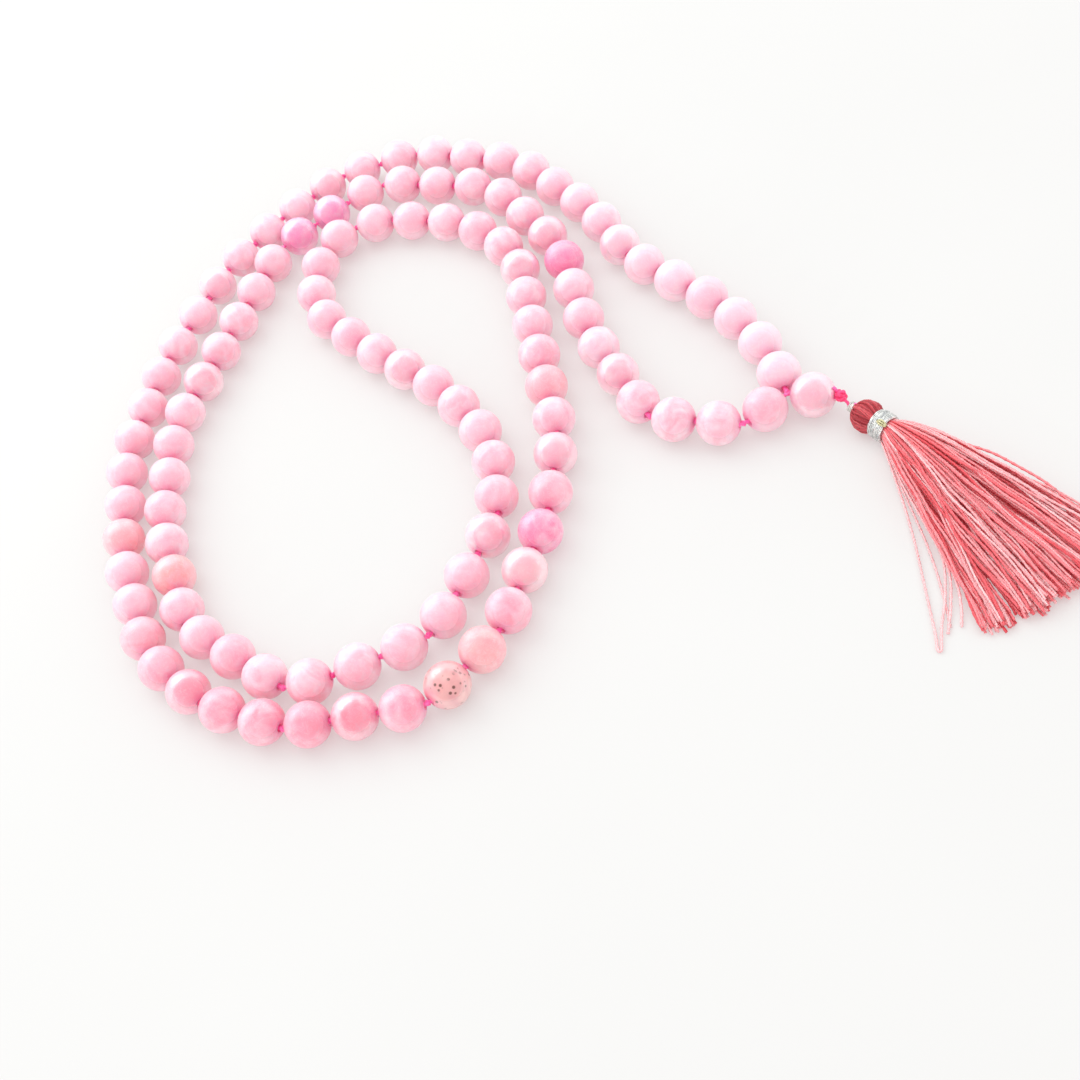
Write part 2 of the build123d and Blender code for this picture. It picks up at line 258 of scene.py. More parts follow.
# ---------------------------------------------------------------------------
# Mesh helpers
# ---------------------------------------------------------------------------
class Shell:
    """Collects vertices and faces, with numbers painted on the vertices."""

    def __init__(self):
        self.v, self.q, self.t, self.qm, self.tm = [], [], [], [], []
        self.paint = {}
        self.n = 0

    def add(self, v, quads, tris=None, mat=0, **paint):
        v = np.asarray(v, float)
        self.v.append(v)
        if len(quads):
            self.q.append(np.asarray(quads) + self.n)
            self.qm.append(np.full(len(quads), mat))
        if tris is not None and len(tris):
            self.t.append(np.asarray(tris) + self.n)
            self.tm.append(np.full(len(tris), mat))
        for key, value in paint.items():
            value = np.asarray(value, float)
            if value.ndim == 0 or (value.shape == (3,) and key.startswith("tint")):
                value = np.broadcast_to(value, (len(v),) + value.shape)
            self.paint.setdefault(key, []).append(value)
        self.n += len(v)

    def make(self, name, *mats):
        me = bpy.data.meshes.new(name)
        v = np.concatenate(self.v)
        q = np.concatenate(self.q) if self.q else np.zeros((0, 4), int)
        t = np.concatenate(self.t) if self.t else np.zeros((0, 3), int)
        me.vertices.add(len(v))
        me.vertices.foreach_set("co", v.astype(np.float32).ravel())
        loops = np.concatenate([q.ravel(), t.ravel()]).astype(np.int32)
        me.loops.add(len(loops))
        me.loops.foreach_set("vertex_index", loops)
        starts = np.concatenate([np.arange(len(q)) * 4, len(q) * 4 + np.arange(len(t)) * 3])
        me.polygons.add(len(q) + len(t))
        me.polygons.foreach_set("loop_start", starts.astype(np.int32))
        me.update(calc_edges=True)
        me.validate()
        which = np.concatenate(self.qm + self.tm).astype(np.int32)
        me.polygons.foreach_set("material_index", which)
        me.polygons.foreach_set("use_smooth", np.ones(len(which), bool))
        for key, parts in self.paint.items():
            value = np.concatenate(parts)
            if value.ndim == 1:
                a = me.attributes.new(key, "FLOAT", "POINT")
                a.data.foreach_set("value", value.astype(np.float32))
            else:
                a = me.attributes.new(key, "FLOAT_COLOR", "POINT")
                rgba = np.concatenate([value, np.ones((len(value), 1))], axis=1)
                a.data.foreach_set("color", rgba.astype(np.float32).ravel())
        for mat in mats:
            me.materials.append(mat)
        me.update()
        obj = bpy.data.objects.new(name, me)
        bpy.context.scene.collection.objects.link(obj)
        return obj


def unit_rows(v):
    return v / np.linalg.norm(v, axis=-1, keepdims=True)


def along_line(p):
    """Tangents and two steady normals at the points of a line."""
    tan = unit_rows(np.gradient(p, axis=0))
    nor = np.zeros_like(p)
    ref = np.array([0.0, 0, 1]) if abs(tan[0, 2]) < 0.8 else np.array([1.0, 0, 0])
    for i in range(len(p)):
        nor[i] = ref - tan[i] * np.dot(ref, tan[i])
        nor[i] /= np.linalg.norm(nor[i])
        ref = nor[i]
    return tan, nor, np.cross(tan, nor)


def tube(p, radius, sides=8, turn=0.0, lobes=0, depth=0.0):
    """A tube along the points p, of twisted plies if it has lobes. Returns vertices, quads, cap triangles."""
    tan, nor, bi = along_line(p)
    n = len(p)
    a = np.linspace(0, 2 * math.pi, sides, endpoint=False)[None, :] + np.zeros((n, 1))
    twist = np.broadcast_to(np.asarray(turn, float), (n,))[:, None]
    r = np.broadcast_to(np.asarray(radius, float), (n,))[:, None] * np.ones((1, sides))
    if lobes:
        r = r * (1 - depth * (0.5 - 0.5 * np.cos(lobes * a)))
    a = a + twist
    v = p[:, None, :] + r[..., None] * (np.cos(a)[..., None] * nor[:, None, :] + np.sin(a)[..., None] * bi[:, None, :])
    v = v.reshape(-1, 3)
    i, k = np.meshgrid(np.arange(n - 1), np.arange(sides), indexing="ij")
    k2 = (k + 1) % sides
    quads = np.stack([i * sides + k, i * sides + k2, (i + 1) * sides + k2, (i + 1) * sides + k], axis=-1).reshape(-1, 4)
    v = np.concatenate([v, p[:1] - tan[:1] * r[0, 0] * 0.15, p[-1:] + tan[-1:] * r[-1, 0] * 0.15])
    c0, c1 = n * sides, n * sides + 1
    k = np.arange(sides)
    k2 = (k + 1) % sides
    tris = np.concatenate([
        np.stack([k2, k, np.full(sides, c0)], axis=1),
        np.stack([(n - 1) * sides + k, (n - 1) * sides + k2, np.full(sides, c1)], axis=1),
    ])
    return v, quads, tris


def ring_of(p, radius, sides=8, turn=0.0, lobes=0, depth=0.0):
    """A closed tube: the points p come back to their start."""
    n = len(p)
    tan = unit_rows(np.roll(p, -1, axis=0) - np.roll(p, 1, axis=0))
    nor = np.zeros_like(p)
    ref = np.cross(tan[0], np.array([0.31, 0.52, 0.79]))
    for i in range(n):
        nor[i] = ref - tan[i] * np.dot(ref, tan[i])
        nor[i] /= np.linalg.norm(nor[i])
        ref = nor[i]
    # spread the leftover turn, so that the seam closes
    back = nor[-1] - tan[0] * np.dot(nor[-1], tan[0])
    back /= np.linalg.norm(back)
    left = math.atan2(np.dot(np.cross(back, nor[0]), tan[0]), np.dot(back, nor[0]))
    bi = np.cross(tan, nor)
    a = np.linspace(0, 2 * math.pi, sides, endpoint=False)[None, :] + np.zeros((n, 1))
    r = radius * (1 - depth * (0.5 - 0.5 * np.cos(lobes * a))) if lobes else radius * np.ones_like(a)
    a = a + (np.arange(n) / n)[:, None] * (left + turn)
    v = p[:, None, :] + r[..., None] * (np.cos(a)[..., None] * nor[:, None, :] + np.sin(a)[..., None] * bi[:, None, :])
    i, k = np.meshgrid(np.arange(n), np.arange(sides), indexing="ij")
    i2, k2 = (i + 1) % n, (k + 1) % sides
    quads = np.stack([i * sides + k, i * sides + k2, i2 * sides + k2, i2 * sides + k], axis=-1).reshape(-1, 4)
    return v.reshape(-1, 3), quads


def tied_knot(centre, axis, across_r, thick, half_len, windings=(2, 5), spin=0.0, steps=90):
    """The line of a tied knot of cord, a closed (p, q) winding about axis, in metres."""
    axis = np.asarray(axis, float) / np.linalg.norm(axis)
    ref = np.array([0.0, 0, 1]) if abs(axis[2]) < 0.8 else np.array([1.0, 0, 0])
    e1 = ref - axis * np.dot(ref, axis)
    e1 /= np.linalg.norm(e1)
    e2 = np.cross(axis, e1)
    p, q = windings
    t = np.linspace(0, 2 * math.pi, steps, endpoint=False)
    ring = across_r + thick * np.cos(q * t)
    return (np.asarray(centre)[None, :] + (ring * np.cos(p * t + spin))[:, None] * e1 + (ring * np.sin(p * t + spin))[:, None] * e2
            + (half_len * np.sin(q * t))[:, None] * axis)


# ---------------------------------------------------------------------------
# Materials: all of them are built from nodes.
# ---------------------------------------------------------------------------
class Nodes:
    def __init__(self, name):
        self.mat = bpy.data.materials.new(name)
        self.mat.use_nodes = True
        self.tree = self.mat.node_tree
        self.tree.nodes.clear()
        self.out = self.tree.nodes.new("ShaderNodeOutputMaterial")
        self.bsdf = self.tree.nodes.new("ShaderNodeBsdfPrincipled")
        self.join(self.bsdf.outputs["BSDF"], self.out.inputs["Surface"])
        self.coord = self.tree.nodes.new("ShaderNodeTexCoord").outputs["Object"]

    def join(self, a, b):
        self.tree.links.new(a, b)

    def put(self, socket, value):
        if isinstance(value, bpy.types.NodeSocket):
            self.join(value, socket)
        elif isinstance(value, (tuple, list)) and len(value) == 3 and len(socket.default_value) == 4:
            socket.default_value = (*value, 1.0)
        else:
            socket.default_value = value

    def set(self, **values):
        for key, value in values.items():
            self.put(self.bsdf.inputs[key.replace("_", " ")], value)

    def noise(self, scale, detail=2.0, rough=0.5, distort=0.0, vector=None):
        n = self.tree.nodes.new("ShaderNodeTexNoise")
        n.inputs["Scale"].default_value = scale
        n.inputs["Detail"].default_value = detail
        n.inputs["Roughness"].default_value = rough
        n.inputs["Distortion"].default_value = distort
        self.join(vector or self.coord, n.inputs["Vector"])
        return n.outputs["Fac"]

    def voronoi(self, scale, feature="F1", spread=1.0):
        n = self.tree.nodes.new("ShaderNodeTexVoronoi")
        n.feature = feature
        n.inputs["Scale"].default_value = scale
        n.inputs["Randomness"].default_value = spread
        self.join(self.coord, n.inputs["Vector"])
        return n.outputs["Distance"]

    def paint(self, name, out="Fac"):
        n = self.tree.nodes.new("ShaderNodeAttribute")
        n.attribute_type = "GEOMETRY"
        n.attribute_name = name
        return n.outputs[out]

    def ramp(self, fac, *stops):
        n = self.tree.nodes.new("ShaderNodeValToRGB")
        e = n.color_ramp.elements
        while len(e) < len(stops):
            e.new(0.5)
        for k, (at, colour) in enumerate(stops):
            e[k].position = at
            e[k].color = (*colour, 1) if len(colour) == 3 else (colour[0],) * 3 + (1,)
        self.join(fac, n.inputs["Fac"])
        return n.outputs["Color"]

    def mix(self, fac, a, b, blend="MIX"):
        n = self.tree.nodes.new("ShaderNodeMix")
        n.data_type = "RGBA"
        n.blend_type = blend
        self.put(n.inputs[0], fac)
        self.put(n.inputs[6], a)
        self.put(n.inputs[7], b)
        return n.outputs[2]

    def math(self, op, a, b=0.0):
        n = self.tree.nodes.new("ShaderNodeMath")
        n.operation = op
        self.put(n.inputs[0], a)
        self.put(n.inputs[1], b)
        return n.outputs[0]

    def bump(self, height, distance, strength=1.0):
        n = self.tree.nodes.new("ShaderNodeBump")
        n.inputs["Strength"].default_value = strength
        n.inputs["Distance"].default_value = distance
        self.join(height, n.inputs["Height"])
        self.join(n.outputs["Normal"], self.bsdf.inputs["Normal"])


def quartz(name, glassy, scatter, rough):
    """Rose quartz: pale milky clouds and finer veins in a translucent stone."""
    m = Nodes(name)
    clouds = m.ramp(m.noise(230, 4, 0.55, 1.4), (0.38, (0.0,)), (0.68, (1.0,)))
    veins = m.ramp(m.noise(520, 3, 0.6, 3.0), (0.47, (0.0,)), (0.50, (1.0,)), (0.53, (0.0,)))
    colour = m.mix(clouds, m.paint("tint", "Color"), m.paint("tint_cloud", "Color"))
    colour = m.mix(m.math("MULTIPLY", veins, 0.34), colour, (1.0, 0.88, 0.91))
    grain = m.ramp(m.noise(1500, 2), (0.3, (0.95,)), (0.7, (1.0,)))
    colour = m.mix(1.0, colour, grain, "MULTIPLY")
    m.set(Base_Color=colour, Roughness=rough, IOR=1.54, Subsurface_Weight=scatter, Subsurface_Scale=0.0055,
          Subsurface_Radius=(1.0, 0.46, 0.58), Transmission_Weight=glassy, Coat_Weight=0.05, Coat_Roughness=0.22, Specular_IOR_Level=0.22)
    m.bump(m.noise(420, 2), 0.00012, 0.35)
    return m.mat


QUARTZ = quartz("rose_quartz_milky", 0.22, 0.96, 0.48)
QUARTZ_CLEAR = quartz("rose_quartz_clear", 0.38, 0.95, 0.36)
QUARTZ_GURU = quartz("guru_quartz", 0.30, 0.95, 0.28)


def speckled():
    m = Nodes("rose_quartz_speckled")
    clouds = m.ramp(m.noise(260, 4, 0.55, 1.2), (0.38, (0.0,)), (0.66, (1.0,)))
    colour = m.mix(clouds, m.paint("tint", "Color"), m.paint("tint_cloud", "Color"))
    cells = m.voronoi(980)
    dots = m.ramp(cells, (0.20, (1.0,)), (0.33, (0.0,)))
    where = m.ramp(m.noise(330, 2), (0.44, (0.0,)), (0.54, (1.0,)))
    dots = m.mix(1.0, dots, where, "MULTIPLY")
    colour = m.mix(dots, colour, (0.16, 0.055, 0.04))
    m.set(Base_Color=colour, Roughness=0.32, IOR=1.54, Subsurface_Weight=0.7, Subsurface_Scale=0.002,
          Subsurface_Radius=(1.0, 0.5, 0.55), Transmission_Weight=0.26, Coat_Weight=0.15, Coat_Roughness=0.20)
    m.bump(m.noise(420, 2), 0.00012, 0.35)
    return m.mat


SPECKLED = speckled()


def cord_material():
    m = Nodes("cord_pink_nylon")
    colour = m.ramp(m.noise(900, 3), (0.30, (0.94, 0.085, 0.33)), (0.62, (1.0, 0.20, 0.50)))
    colour = m.mix(m.math("MULTIPLY", m.paint("hot"), 0.75), colour, (0.92, 0.006, 0.045))
    # the emission is a painted glow, which lifts the knots in the shaded gaps between the beads
    m.set(Base_Color=colour, Roughness=0.46, Subsurface_Weight=0.35, Subsurface_Scale=0.0007,
          Subsurface_Radius=(1.0, 0.35, 0.5), Emission_Color=(1.0, 0.10, 0.40), Emission_Strength=0.14, Sheen_Weight=0.15, Sheen_Roughness=0.4)
    m.bump(m.noise(5200, 2, 0.6), 0.00006, 0.6)
    return m.mat


def silk(name, dark, mid, light, glow):
    """Thread: each one has its own tone, with paler specks painted as highlights where its plied strands catch the
    light, painted shade in the grooves between the strands, and a painted glow from a weak emission.
    """
    m = Nodes(name)
    colour = m.ramp(m.paint("tone"), (0.20, dark), (0.48, mid), (0.86, light))
    # painted highlight: paler specks along the thread
    painted_highlight_flecks = m.ramp(m.noise(1900, 3, 0.6), (0.35, (0.82,)), (0.65, (1.0,)))
    colour = m.mix(1.0, colour, painted_highlight_flecks, "MULTIPLY")
    # painted shade: darker in the grooves between the plies
    plies = m.ramp(m.paint("ply"), (0.0, (0.86,)), (0.55, (1.0,)))
    colour = m.mix(0.8, colour, plies, "MULTIPLY")
    # the emission is a painted glow, for light bouncing inside the bundle of threads
    m.set(Base_Color=colour, Roughness=0.42, Subsurface_Weight=glow, Subsurface_Scale=0.0007,
          Subsurface_Radius=(1.0, 0.35, 0.35), Emission_Color=(1.0, 0.13, 0.16), Emission_Strength=0.07, Sheen_Weight=0.10, Sheen_Roughness=0.35, Specular_IOR_Level=0.35)
    m.bump(m.noise(6000, 2, 0.6), 0.00004, 0.5)
    return m.mat


def silver():
    m = Nodes("silver_thread_foil")
    tone = m.ramp(m.noise(1500, 3, 0.6), (0.32, (0.46, 0.48, 0.50)), (0.52, (0.80, 0.82, 0.80)), (0.7, (0.97, 0.98, 0.95)))
    colour = m.mix(m.math("MULTIPLY", m.paint("gold"), 1.0), tone, (0.66, 0.62, 0.33))
    rough = m.ramp(m.noise(2600, 2), (0.35, (0.18,)), (0.65, (0.42,)))
    m.set(Base_Color=colour, Metallic=0.85, Roughness=rough)
    m.bump(m.noise(4200, 3, 0.7), 0.00007, 0.8)
    return m.mat


CORD = cord_material()
THREAD = silk("coral_silk_thread", (0.72, 0.066, 0.086), (0.95, 0.235, 0.26), (1.0, 0.60, 0.615), 0.36)
HEAD_SILK = silk("coral_silk_head", (0.33, 0.024, 0.034), (0.57, 0.056, 0.072), (0.86, 0.20, 0.22), 0.20)
SILVER = silver()

# ---------------------------------------------------------------------------
# The cord. One NURBS line for each length between two folds, through the knots.
# ---------------------------------------------------------------------------
def nurbs_line(name, points, weights, resolution=22):
    """Points read from a NURBS spline that has these control points, in metres."""
    data = bpy.data.curves.new(name, "CURVE")
    data.dimensions = "3D"
    data.resolution_u = resolution
    spline = data.splines.new("NURBS")
    spline.points.add(len(points) - 1)
    for point, (x, y, z), w in zip(spline.points, points, weights):
        point.co = (x, y, z, w)
    spline.order_u = 3
    spline.use_endpoint_u = True
    spline.resolution_u = resolution
    obj = bpy.data.objects.new(name, data)
    bpy.context.scene.collection.objects.link(obj)
    bpy.context.view_layer.update()
    mesh = bpy.data.meshes.new_from_object(obj)
    line = np.array([v.co[:] for v in mesh.vertices])
    bpy.data.meshes.remove(mesh)
    bpy.data.objects.remove(obj)
    bpy.data.curves.remove(data)
    keep = np.concatenate([[True], np.linalg.norm(np.diff(line, axis=0), axis=1) > 1e-6])
    return line[keep]


def weight_at(knot):
    return 1.0 + 0.05 * TURN.get(knot, 0.0)


# name: (knots in order, tail beyond the junction, knots tied on this length, body, CAD node it stands for)
side = (-guru_dy, guru_dx)
LENGTHS = [
    ("cord_beads_009_018", range(8, 19), 0, "strand_middle"),
    ("cord_beads_037_075", range(36, 76), 0, "strand_middle"),
    ("cord_beads_091_102", range(90, 103), 0, "strand_middle"),
    ("cord_beads_019_036", range(18, 37), 0, "strand_left"),
    ("cord_beads_076_090", range(75, 91), 0, "strand_left"),
    ("cord_beads_008_001", range(8, -1, -1), 1, "strand_guru_end"),
    ("cord_beads_103_108", range(102, 109), -1, "strand_guru_end"),
]
cord_of_body = {}
for name, order, tail, body in LENGTHS:
    order = list(order)
    points = [(KNOT[i][0] * MM, KNOT[i][1] * MM, BORE_Z * MM) for i in order]
    weights = [weight_at(i) for i in order]
    if tail:
        # both ends of the cord go on through the guru bead, side by side
        points[-1] = (JUNCTION[0] * MM, JUNCTION[1] * MM, BORE_Z * MM)
        weights[-1] = 3.0
        for reach, off in ((GURU_DIST * 0.55, 0.25), (GURU_DIST + 2.4, 0.25), (GURU_DIST + END_DIST, 0.1)):
            points.append((
                (JUNCTION[0] + guru_dx * reach + side[0] * off * tail) * MM,
                (JUNCTION[1] + guru_dy * reach + side[1] * off * tail) * MM,
                BORE_Z * MM,
            ))
            weights.append(1.0)
    line = nurbs_line(name, points, weights)
    steps = np.concatenate([[0], np.cumsum(np.linalg.norm(np.diff(line, axis=0), axis=1))])
    radius = np.full(len(line), CORD_R * MM)
    if tail:
        far = steps > steps[-1] - (GURU_DIST + END_DIST - 2.0) * MM
        radius[far] = 0.30 * MM
        radius = np.convolve(np.pad(radius, 4, mode="edge"), np.ones(9) / 9, mode="valid")
    shell = Shell()
    v, quads, tris = tube(line, radius * 1.04, 12, steps / (2.4 * MM) * 2 * math.pi, 3, 0.30)
    ply = np.concatenate([np.tile(0.5 + 0.5 * np.cos(3 * np.linspace(0, 2 * math.pi, 12, endpoint=False)), len(line)), [1, 1]])
    shell.add(v, quads, tris, hot=0.0, ply=ply)
    tan = along_line(line)[0]
    for i in order:
        if body != "strand_middle" and i in FOLDS:
            continue                          # the middle keeps the fold's knot
        if i in (0, 108) and tail < 0:
            continue                          # the junction is one knot
        target = np.array([KNOT[i][0] * MM, KNOT[i][1] * MM, BORE_Z * MM])
        near = int(np.argmin(np.linalg.norm(line - target, axis=1)))
        big = 1.12 if i in (0, 108) else 1.0 + 0.05 * math.sin(i * 2.3)
        tie = tied_knot(line[near], tan[near], 0.30 * MM * big, 0.12 * MM, 0.22 * MM, (2, 3), i * 1.7, 60)
        v, quads = ring_of(tie, 0.20 * MM, 8, 14 * math.pi, 2, 0.22)
        shell.add(v, quads, hot=0.12, ply=1.0)
    obj = shell.make(name, CORD)
    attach(obj, body)
    cord_of_body.setdefault(body, []).append(obj)
for body, objs in cord_of_body.items():
    node = body.replace("strand_", "strand_cord_")
    for obj in objs:
        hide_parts(node)

# ---------------------------------------------------------------------------
# The beads
# ---------------------------------------------------------------------------
SEG, ARC = 64, 40


def bead_form(centre, direction, ball_r, bore_r, seed):
    """A drilled bead: a ball, very slightly out of round, with softened mouths, and the weight of a painted glow round
    them.
    """
    local = np.random.default_rng(seed)
    mouth_r = bore_r + MOUTH
    edge = math.asin(mouth_r / ball_r)
    prof = []
    for k in range(ARC + 1):
        a = edge + 0.03 + (math.pi - 2 * edge - 0.06) * k / ARC
        prof.append((-ball_r * math.cos(a), ball_r * math.sin(a)))
    mouth_x = math.sqrt(ball_r**2 - mouth_r**2)
    lip = [(mouth_x - 0.02, mouth_r - 0.035), (mouth_x - 0.12, mouth_r - 0.14), (mouth_x - 0.25, bore_r + 0.07),
           (mouth_x - 0.42, bore_r + 0.01)]
    prof += lip
    for share in (0.5, 0.0, -0.5):
        prof.append((share * (mouth_x - 0.42), bore_r))
    prof += [(-x, r) for x, r in reversed(lip)]
    prof = np.array(prof)
    n = len(prof)
    a = np.linspace(0, 2 * math.pi, SEG, endpoint=False) + local.uniform(0, 1)
    ux, uy = direction
    ex = np.array([ux, uy, 0.0])
    e1 = np.array([-uy, ux, 0.0])
    e2 = np.array([0.0, 0, 1])
    c = np.array([centre[0], centre[1], BORE_Z])
    # a turned and tumbled stone is not quite a ball
    wob = 1 - 0.004 + 0.004 * np.sin(a * 2 + local.uniform(0, 6)) * local.uniform(0.3, 1)
    r = prof[:, 1][:, None] * np.where(prof[:, 1][:, None] > mouth_r + 0.2, wob[None, :], 1.0)
    v = (c + prof[:, 0][:, None, None] * ex + r[..., None] * (np.cos(a)[None, :, None] * e1 + np.sin(a)[None, :, None] * e2))
    i, k = np.meshgrid(np.arange(n), np.arange(SEG), indexing="ij")
    i2, k2 = (i + 1) % n, (k + 1) % SEG
    quads = np.stack([i * SEG + k, i2 * SEG + k, i2 * SEG + k2, i * SEG + k2], axis=-1).reshape(-1, 4)
    # painted glow: the pink of the cord shining through the thin stone is painted into the colour round the mouths
    glow = np.exp(-(((np.hypot(r, 0) - bore_r) / 1.30) ** 2)) * (np.abs(prof[:, 0])[:, None] > mouth_x * 0.5)
    return v.reshape(-1, 3) * MM, quads, glow.reshape(-1)


PAINTED_GLOW_PINK = np.array([0.99, 0.20, 0.42])
PALE, ROSE, DEEP = np.array([1.0, 0.70, 0.765]), np.array([0.99, 0.50, 0.59]), np.array([0.985, 0.40, 0.495])
CLEAR_BEADS = {7, 17, 21, 34, 38, 43, 46, 52, 64, 70, 86, 91, 92, 99, 104}
TINTS = {                       # single beads whose stone differs, tint and cloud
    40: ((0.78, 0.38, 0.40), (0.88, 0.50, 0.48)),
    41: ((0.94, 0.38, 0.42), (0.97, 0.50, 0.51)),
    43: ((1.0, 0.52, 0.58), (1.0, 0.62, 0.66)),
    39: ((0.95, 0.35, 0.46), (1.0, 0.52, 0.60)),
    44: ((0.97, 0.26, 0.44), (1.0, 0.50, 0.62)),
    100: ((0.95, 0.24, 0.44), (0.99, 0.42, 0.56)),
    29: ((0.99, 0.42, 0.46), (1.0, 0.52, 0.56)),
    80: ((0.99, 0.38, 0.38), (1.0, 0.50, 0.56)),
    48: ((0.98, 0.43, 0.49), (1.0, 0.55, 0.60)),
    32: ((0.95, 0.40, 0.47), (0.98, 0.50, 0.58)),
    91: ((0.96, 0.28, 0.54), (0.99, 0.48, 0.64)),
    92: ((0.96, 0.30, 0.56), (0.99, 0.48, 0.64)),
}
SPECKLED_BEADS = {40}
tone = np.random.default_rng(7)
for j, (start, end, unit, length, first, n) in enumerate(runs):
    node = f"bead_{first:03d}" if n == 1 else f"beads_{first:03d}_{first + n - 1:03d}"
    shell = Shell()
    for number, xy in beads_on(j):
        v, quads, glow = bead_form(xy, unit, BEAD_D[number - 1] / 2, BORE_R, number)
        depth, cloud = tone.beta(2.2, 3.0), tone.uniform(0.0, 0.7)
        # by place on the strand the tint is deeper for the front beads and paler for those at the back and left:
        # painted light falloff, on top of the stones' own random tone above
        depth += np.interp(number, [1, 7, 12, 20, 24, 31, 36, 41, 46, 55, 57, 66, 68, 90, 93, 100, 103, 108],
                           [-1.4, -1.2, -0.7, -0.7, -0.45, -0.45, 1.4, 1.4, -0.1, -0.1, -0.4, -0.4, -0.1, -0.1, -0.6, -0.6, -0.1, -0.1])
        tint = ROSE * (1 - depth) + DEEP * depth
        cloud += max(0.0, np.interp(number, [31, 34, 41, 46], [0.0, 0.75, 0.75, 0.0]))
        tint_cloud = PALE * (1 - cloud) + ROSE * cloud
        if number in TINTS:
            tint, tint_cloud = (np.array(c) for c in TINTS[number])
        mat = 1 if number in CLEAR_BEADS else 2 if number in SPECKLED_BEADS else 0
        # painted glow: the beads' tint turns towards the cord's pink round the mouths
        glow = (0.62 * glow)[:, None]
        tint = tint * (1 - glow) + PAINTED_GLOW_PINK * glow
        tint_cloud = tint_cloud * (1 - glow) + PAINTED_GLOW_PINK * glow
        shell.add(v, quads, mat=mat, tint=tint, tint_cloud=tint_cloud)
    obj = shell.make("stone_" + node, QUARTZ, QUARTZ_CLEAR, SPECKLED)
    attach(obj, node)
    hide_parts(node)

shell = Shell()
v, quads, glow = bead_form((guru_x, guru_y), (guru_dx, guru_dy), GURU_D / 2, GURU_BORE_R, 999)
# painted glow: the bore's inside and the mouths are painted the cord's pink, for the cord seen through the clear stone
off = (v / MM - np.array([guru_x, guru_y, BORE_Z])) @ np.array([guru_dx, guru_dy, 0.0])
away = np.sqrt(np.maximum(((v / MM - np.array([guru_x, guru_y, BORE_Z])) ** 2).sum(1) - off**2, 0))
glow = np.maximum(0.4 * glow, 0.85 * (away < GURU_BORE_R + 0.05))[:, None]
shell.add(v, quads, tint=np.array([1.0, 0.52, 0.60]) * (1 - glow) + PAINTED_GLOW_PINK * glow,
          tint_cloud=np.array([1.0, 0.60, 0.68]) * (1 - glow) + PAINTED_GLOW_PINK * glow)
obj = shell.make("stone_guru_bead", QUARTZ_GURU)
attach(obj, "guru")
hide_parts("guru_bead")

# ---------------------------------------------------------------------------
# The end knot and the hanger
# ---------------------------------------------------------------------------
E = np.array([end_x - 0.08, end_y + 0.12, BORE_Z + 0.28]) * MM
shell = Shell()
axis = np.array([guru_dx, guru_dy, 0.0])
tie = tied_knot(E, axis * 0.7 + np.array([0, 0, 0.7]), 0.60 * MM, 0.30 * MM, 0.48 * MM, (2, 5), 0.4, 150)
v, quads = ring_of(tie, 0.36 * MM, 10, 20 * math.pi, 3, 0.28)
shell.add(v, quads, hot=1.0, ply=1.0)
tie = tied_knot(E + np.array([-0.1, 0.15, 0.1]) * MM, np.array([guru_dy, -guru_dx, 0.4]), 0.52 * MM, 0.24 * MM, 0.42 * MM, (2, 3), 1.4, 110)
v, quads = ring_of(tie, 0.34 * MM, 10, 14 * math.pi, 3, 0.28)
shell.add(v, quads, hot=0.8, ply=1.0)
# the trimmed end of the cord stands up out of the knot
stub = E + np.array([[-0.2, 0.3, 0.4], [-0.38, 0.58, 0.95], [-0.6, 0.75, 1.40], [-0.78, 0.80, 1.75]]) * MM
v, quads, tris = tube(stub, 0.33 * MM, 10, np.linspace(0, 2.4, 4), 3, 0.28)
shell.add(v, quads, tris, hot=0.15, ply=1.0)
obj = shell.make("end_knot_tied", CORD)
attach(obj, "tassel_link")
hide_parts("end_knot")

link_end = np.array(tassel_point(PIVOT_X))
shell = Shell()
t = np.linspace(0, 1, 14)[:, None]
p = E * (1 - t) + link_end * t + np.array([0, 0, 0.12]) * MM * np.sin(math.pi * t)
v, quads, tris = tube(p, 0.33 * MM, 10, np.linspace(0, 7, 14), 3, 0.3)
shell.add(v, quads, tris, hot=0.7, ply=1.0)
tie = tied_knot(link_end, (tc, ts, 0), 0.19 * MM, 0.08 * MM, 0.16 * MM, (2, 3), 0.2, 48)
v, quads = ring_of(tie, 0.15 * MM, 8, 0.0)
shell.add(v, quads, hot=0.5, ply=1.0)
obj = shell.make("hanger_link_tied", CORD)
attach(obj, "tassel_link")
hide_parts("tassel_hanger_link")

shell = Shell()
for off_t, off_z, bow, hot in ((0.0, 0.0, 0.0, 0.4), (0.25, 0.35, 0.62, 0.05)):
    s = np.linspace(PIVOT_X + 0.30, HEAD_X - (0.6 if not bow else 2.35), 26)
    w = (s - s[0]) / (s[-1] - s[0])
    z = TASSEL_Z + off_z * np.sin(math.pi * np.minimum(1, w * 1.6) / 2) + bow * np.sin(math.pi * w) * 1.0
    tt = off_t * np.sin(math.pi * w / 2) + bow * 0.35 * np.sin(math.pi * w)
    p = tassel_points(s, tt, z)
    thin = np.interp(s - s[0], [0, 0.55], [0.50, 1.0])
    v, quads, tris = tube(p, (0.34 if not bow else 0.20) * thin * MM, 10, np.linspace(0, 12, 26), 3, 0.3)
    shell.add(v, quads, tris, hot=hot, ply=1.0)
obj = shell.make("hanger_cord_tied", CORD)
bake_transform(obj)
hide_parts("tassel_hanger_cord", "tassel_inner_knot")


